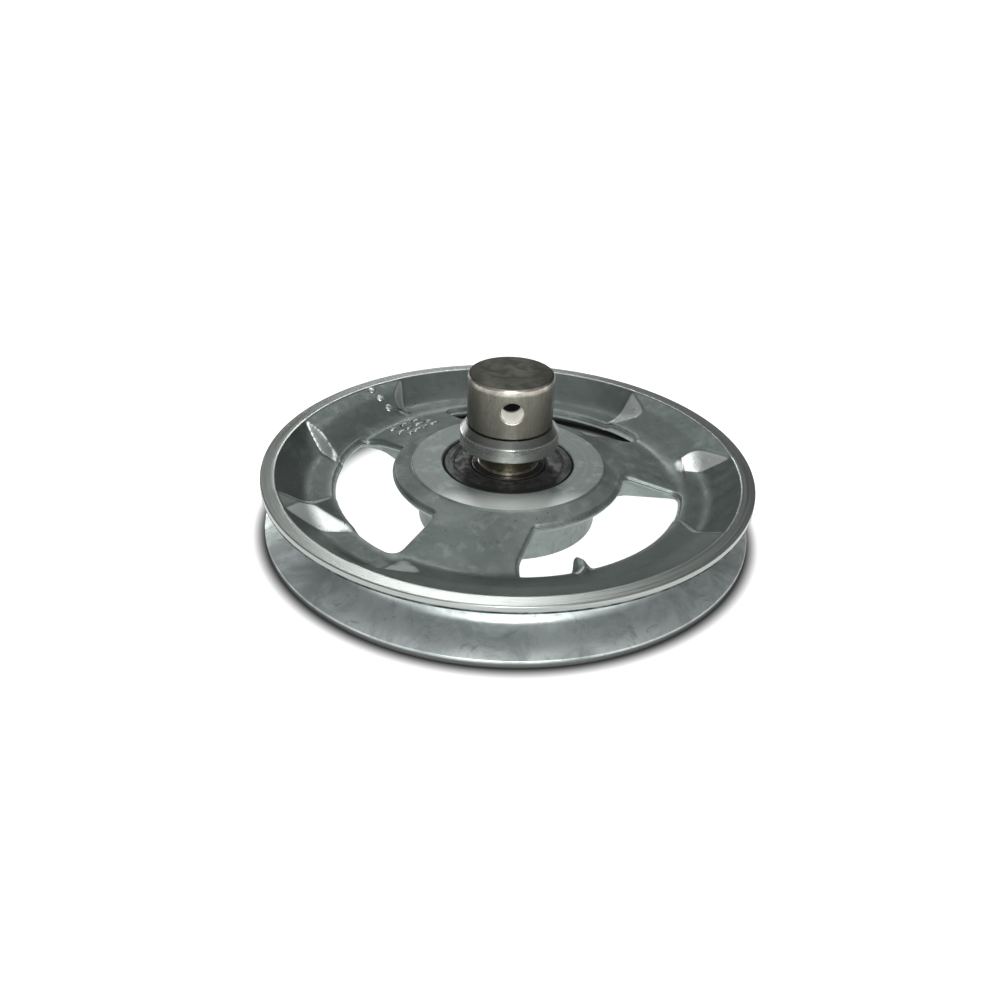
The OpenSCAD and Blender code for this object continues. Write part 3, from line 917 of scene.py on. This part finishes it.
def turned_steel():
    """Turned steel with fine lines and a little tarnish, darker on the collar's chamfer."""
    p = Paint("turned_steel", Metallic=0.95, IOR=1.6)
    lines = p.lathe_lines(4.0)
    tarnish = p.noise(0.12, detail=5, rough=0.6, bend=0.5)
    colour = p.colour(p.smooth(lines, 0.3, 0.7), (0.34, 0.345, 0.33), (0.5, 0.505, 0.49))
    chamfer = p.smooth(p.z, COLLAR_TOP - 2.5, COLLAR_TOP - 2.1)
    colour = p.colour(p.times(chamfer, 0.7), colour, (0.17, 0.185, 0.165))
    colour = p.colour(p.times(p.smooth(tarnish, 0.5, 0.68), 0.4), colour, (0.16, 0.155, 0.13))
    rough = p.blend(p.smooth(tarnish, 0.4, 0.7), 0.26, 0.42)
    return p.done(colour, rough)


def bearing_steel(name, dark, light, rough_low, rough_high):
    """Ground bearing steel with fine turned lines and a film of old grease."""
    p = Paint(name, Metallic=0.9, IOR=1.6)
    lines = p.lathe_lines(5.0)
    film = p.noise(0.22, detail=5, rough=0.62, bend=0.7)
    grease = tuple(0.5 * c for c in dark)
    colour = p.colour(p.smooth(lines, 0.3, 0.7), dark, light)
    colour = p.colour(p.times(p.smooth(film, 0.5, 0.66), 0.5), colour, grease)
    rough = p.blend(p.smooth(film, 0.42, 0.62), rough_low, rough_high)
    return p.done(colour, rough, p.bump(p.math("ADD", lines, film), 0.03, 0.4))


def seal_rubber():
    """Moulded rubber, greasy, with crumbs of dirt."""
    p = Paint("seal_rubber", Metallic=0.0, IOR=1.5)
    film = p.noise(0.25, detail=5, rough=0.65, bend=0.9)
    crumbs = p.smooth(p.noise(0.8, detail=3, shift=(5, 1, 7)), 0.6, 0.7)
    colour = p.colour(p.smooth(film, 0.35, 0.65), (0.012, 0.013, 0.012), (0.04, 0.043, 0.04))
    colour = p.colour(p.times(crumbs, 0.4), colour, (0.09, 0.085, 0.07))
    rough = p.blend(p.smooth(film, 0.4, 0.6), 0.62, 0.34)
    return p.done(colour, rough, p.bump(p.math("ADD", film, crumbs), 0.12, 0.6))


def spring_steel():
    """Oiled spring steel, rubbed bright in places."""
    p = Paint("spring_steel", Metallic=0.95, IOR=1.6)
    wear = p.noise(0.5, detail=4, rough=0.6)
    colour = p.colour(p.smooth(wear, 0.35, 0.65), (0.24, 0.22, 0.18), (0.55, 0.52, 0.46))
    return p.done(colour, p.blend(wear, 0.45, 0.25), p.bump(wear, 0.04, 0.5))


def pale_floor():
    """White studio floor that glows, with a soft contact shadow painted round the wheel's foot."""
    p = Paint("pale_floor", Metallic=0.0, Roughness=0.9, Emission_Strength=0.9)
    shadow = p.smooth(p.r, RIM_R - 0.5, RIM_R + 7.5)
    shadow = p.math("MAXIMUM", shadow, p.smooth(p.r, RIM_R - 8, RIM_R - 22))
    uneven = p.math("ADD", p.times(p.noise(0.02, detail=3), 0.04), 0.6)
    colour = p.colour(shadow, (0.01, 0.01, 0.01), p.combine(uneven, uneven, uneven))
    p.feed(p.shader.inputs["Emission Color"], p.colour(shadow, (0.004, 0.004, 0.004), (1, 1, 1)))
    return p.done(colour, 0.9)


# ---- the cast mark ----

PIP_TURN = 132.5
PIPS = (0.79, 0.855, 0.92)  # shares of the rim's radius
PATCH_MIDDLE = 135.0
# plain raised bars on the spoke: (radius, degrees from the patch's middle, half length along the turn,
# half width)
BARS = (
    (50.5, -7.5, 1.9, 0.9), (50.5, -1.8, 1.4, 0.9), (50.5, 3.2, 1.9, 0.9), (50.5, 8.2, 1.1, 0.9),
    (56.5, -8.2, 1.3, 1.0), (56.5, -3.4, 2.1, 1.0), (56.5, 2.4, 1.5, 1.0), (56.5, 7.2, 2.0, 1.0),
    (63.0, -6.4, 1.8, 1.0), (63.0, -0.6, 1.8, 1.0), (63.0, 5.2, 1.8, 1.0),
)


def cast_mark(material):
    """Three raised pips on the rim's inner wall and a patch of short plain bars on the spoke below."""
    b = Builder()
    for share in PIPS:
        ring_a = np.arange(20) * 18.0
        rows = []
        for radius, rise in ((2.1, -0.6), (2.0, 0.0), (1.75, 0.35), (1.3, 0.58), (0.7, 0.68)):
            dx = radius * np.cos(np.radians(ring_a))
            dy = radius * np.sin(np.radians(ring_a))
            r = share * RIM_R + dx
            a = PIP_TURN + np.degrees(dy / r)
            rows.append(polar(r, a, top_height(r, a) + rise))
        b.grid(np.array(rows))
        b.fan(rows[-1], rows[-1].mean(0) + [0, 0, 0.03])
        b.fan(rows[0], rows[0].mean(0))
    for radius, turn, half_long, half_wide in BARS:
        shape = np.radians(np.arange(24) * 15.0)
        rows = []
        for grow, rise in ((0.35, -0.5), (0.2, 0.05), (0.0, 0.55), (-0.3, 0.7)):
            across = np.sign(np.cos(shape)) * np.abs(np.cos(shape)) ** 0.6 * (half_wide + grow)
            round_way = np.sign(np.sin(shape)) * np.abs(np.sin(shape)) ** 0.6 * (half_long + grow)
            r = radius + across
            a = PATCH_MIDDLE + turn + np.degrees(round_way / r)
            rows.append(polar(r, a, top_height(r, a) + rise))
        b.grid(np.array(rows))
        b.fan(rows[-1], rows[-1].mean(0))
        b.fan(rows[0], rows[0].mean(0))
    return b.finish("cast_mark", material, "pulley_wheel", 60)


# ---- the object ----


def build_object():
    """Every piece and material of the pulley."""
    aluminium = cast_aluminium()
    oiled = oiled_steel()
    turned_finish = turned_steel()
    spring = spring_steel()
    rubber = seal_rubber()
    ring_dark = bearing_steel("bearing_steel_dark", (0.045, 0.048, 0.048), (0.075, 0.08, 0.078), 0.42, 0.6)
    ring_bright = bearing_steel("bearing_steel", (0.05, 0.05, 0.043), (0.12, 0.12, 0.105), 0.35, 0.55)
    ball = bearing_steel("ball_steel", (0.35, 0.35, 0.35), (0.5, 0.5, 0.5), 0.12, 0.25)
    cage = bearing_steel("cage_steel", (0.2, 0.2, 0.2), (0.35, 0.35, 0.34), 0.35, 0.5)

    wheel = casting().finish("pulley_casting_skin", aluminium, "pulley_wheel")
    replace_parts(wheel, "pulley_casting")
    cast_mark(rubbed_aluminium())

    shaft = stub_shaft(oiled)
    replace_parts(shaft, "stub_shaft")

    bore = SPIGOT_R + FIT
    worn_r = COLLAR_R - COLLAR_WEAR
    collar = lathe("collar_turned", [
        (bore, COLLAR_LOW, 0.4), (worn_r, COLLAR_LOW, 0.5), (worn_r, COLLAR_TOP - 2.6, 0.35),
        (HEAD_R + 0.3, COLLAR_TOP, 0.35), (bore, COLLAR_TOP, 0.3)
    ], turned_finish, "shaft_assembly", 240)
    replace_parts(collar, "shaft_collar")

    for name, height, turn in (("circlip_lower", CLIP_LOW, 20), ("circlip_upper", CLIP_HIGH - CLIP_T, 100)):
        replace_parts(circlip(name, height, turn, spring), "shaft_circlips")

    finishes = {
        "bearing_outer_ring": ring_dark,
        "bearing_inner_ring": ring_bright,
        "bearing_seal_upper": rubber,
        "bearing_seal_lower": rubber,
        "bearing_cage_upper": cage,
        "bearing_cage_lower": cage,
        "bearing_cage_rivets": cage,
    }
    for name, node in frame["nodes"].items():
        material = ball if name.startswith("bearing_ball_") else finishes.get(name)
        if material:
            for slot in node.material_slots:
                slot.material = material


# ---- floor, light and camera ----

FOCAL = 0.950  # of the picture's width
DISTANCE = 3.923 * RIM_R * MM
LOOK_DOWN = math.radians(28.34)
ROLL = math.radians(2.295)
PAN = math.radians(0.396)
TILT = math.radians(-2.477)
VIEW_TURN = math.radians(-3.0)


FLOOR_HALF = 40.0


def floor():
    mesh = bpy.data.meshes.new("studio_floor")
    low = CAD_BOX[0][2]
    corners = [(x * FLOOR_HALF, y * FLOOR_HALF, low) for x, y in ((-1, -1), (1, -1), (1, 1), (-1, 1))]
    mesh.from_pydata(corners, [], [(0, 1, 2, 3)])
    mesh.materials.append(pale_floor())
    plane = bpy.data.objects.new("studio_floor", mesh)
    bpy.context.scene.collection.objects.link(plane)


# the studio's brightness: (sine of the direction's elevation, level)
STUDIO = (
    (0.0, 0.28), (0.12, 0.22), (0.28, 0.08), (0.45, 0.07),
    (0.62, 0.16), (0.80, 0.26), (0.93, 0.45), (1.0, 2.2),
)
# lamps: (name, place in metres, height it aims at, size, power)
LAMPS = (
    ("back_window", (-0.04, 1.33, 1.06), 0.02, (0.42, 0.30), 3.8),
    ("back_left", (-0.95, 1.15, 0.17), 0.02, (0.5, 0.2), 2.6),
    ("front_low", (0.0, -1.1, 0.36), 0.03, (0.16, 0.36), 11.0),
    ("near_camera", (0.05, -0.8, 0.62), 0.02, (0.14, 0.14), 1.2),
)


def studio_world():
    world = bpy.data.worlds.new("studio")
    bpy.context.scene.world = world
    world.use_nodes = True
    nodes, links = world.node_tree.nodes, world.node_tree.links
    shine = nodes["Background"]
    way = nodes.new("ShaderNodeTexCoord").outputs["Generated"]
    split = nodes.new("ShaderNodeSeparateXYZ")
    links.new(way, split.inputs[0])
    ramp = nodes.new("ShaderNodeValToRGB")
    ramp.color_ramp.interpolation = "EASE"
    top = max(level for _, level in STUDIO)
    while len(ramp.color_ramp.elements) < len(STUDIO):
        ramp.color_ramp.elements.new(1.0)
    for element, (at, level) in zip(ramp.color_ramp.elements, STUDIO):
        element.position = at
        element.color = (level / top, level / top, level / top, 1)
    links.new(split.outputs[2], ramp.inputs[0])
    links.new(ramp.outputs[0], shine.inputs["Color"])
    shine.inputs["Strength"].default_value = top


def area(name, place, aim_z, size, power):
    """A soft rectangular lamp aimed at a height on the axis."""
    lamp = bpy.data.lights.new(name, "AREA")
    lamp.shape = "RECTANGLE"
    lamp.size, lamp.size_y = size
    lamp.energy = power
    holder = bpy.data.objects.new(name, lamp)
    bpy.context.scene.collection.objects.link(holder)
    way = Vector((0, 0, aim_z)) - Vector(place)
    turn = way.to_track_quat("-Z", "Y").to_matrix().to_4x4()
    holder.matrix_world = Matrix.Translation(place) @ turn


def camera():
    """The photograph's camera. It looks at the axis at the rim's top, but for the small turns above."""
    right = Vector((1, 0, 0))
    forward = Vector((0, math.cos(LOOK_DOWN), -math.sin(LOOK_DOWN)))
    down = -Vector((0, math.sin(LOOK_DOWN), math.cos(LOOK_DOWN)))
    place = Vector((0, 0, RIM_W * MM)) - forward * DISTANCE
    x = math.cos(PAN) * right + math.sin(PAN) * forward
    ahead = -math.sin(PAN) * right + math.cos(PAN) * forward
    y = math.cos(TILT) * down + math.sin(TILT) * ahead
    ahead = -math.sin(TILT) * down + math.cos(TILT) * ahead
    image_x = math.cos(ROLL) * x - math.sin(ROLL) * y
    image_y = math.sin(ROLL) * x + math.cos(ROLL) * y
    turn = Matrix((image_x, -image_y, -ahead)).transposed().to_4x4()
    turn = Matrix.Rotation(VIEW_TURN, 4, "Z") @ Matrix.Translation(place) @ turn
    data = bpy.data.cameras.new("photo_view")
    data.sensor_width = 36.0
    data.lens = FOCAL * 36.0
    data.clip_start = 0.01
    data.clip_end = 100.0
    view = bpy.data.objects.new("photo_view", data)
    view.matrix_world = turn
    bpy.context.scene.collection.objects.link(view)
    bpy.context.scene.camera = view


build_object()
floor()
studio_world()
for lamp in LAMPS:
    area(*lamp)
camera()
bpy.context.scene.view_settings.view_transform = "Standard"
